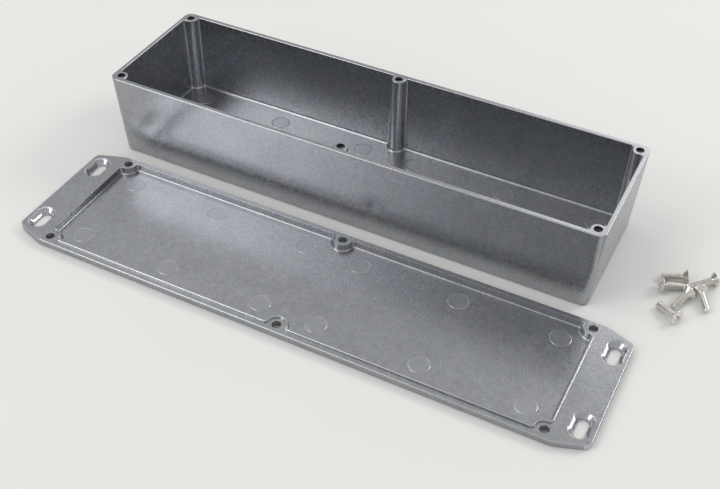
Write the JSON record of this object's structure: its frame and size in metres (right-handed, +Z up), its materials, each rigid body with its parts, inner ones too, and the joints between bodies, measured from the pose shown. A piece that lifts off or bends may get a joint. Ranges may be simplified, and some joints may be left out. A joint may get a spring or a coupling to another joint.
{
  "type": "die cast aluminium box with flanged lid",
  "caption": "Long die cast aluminium enclosure: an open box with internal screw pillars, a flanged lid with a locating lip and slots lying beside it, and loose countersunk lid screws.",
  "frame": {"origin": "centre of the box's base, on the surface that it stands on", "axes": "+X along the box and the lid, +Y across the box away from the lid, +Z up out of the open box"},
  "size_m": [0.3015, 0.1462, 0.0435],
  "materials": {
    "cast_body": "tumbled as-cast satin, faintly mottled",
    "cast_lid": "tumbled as-cast satin, faintly mottled",
    "screws": "bright nickel plate"
  },
  "bodies": {
    "root": {"box_body": "cast_body", "flanged_lid": "cast_lid", "lid_screw_1": "screws", "lid_screw_2": "screws", "lid_screw_3": "screws", "lid_screw_4": "screws", "lid_screw_5": "screws", "lid_screw_6": "screws"}
  },
  "joints": []
}
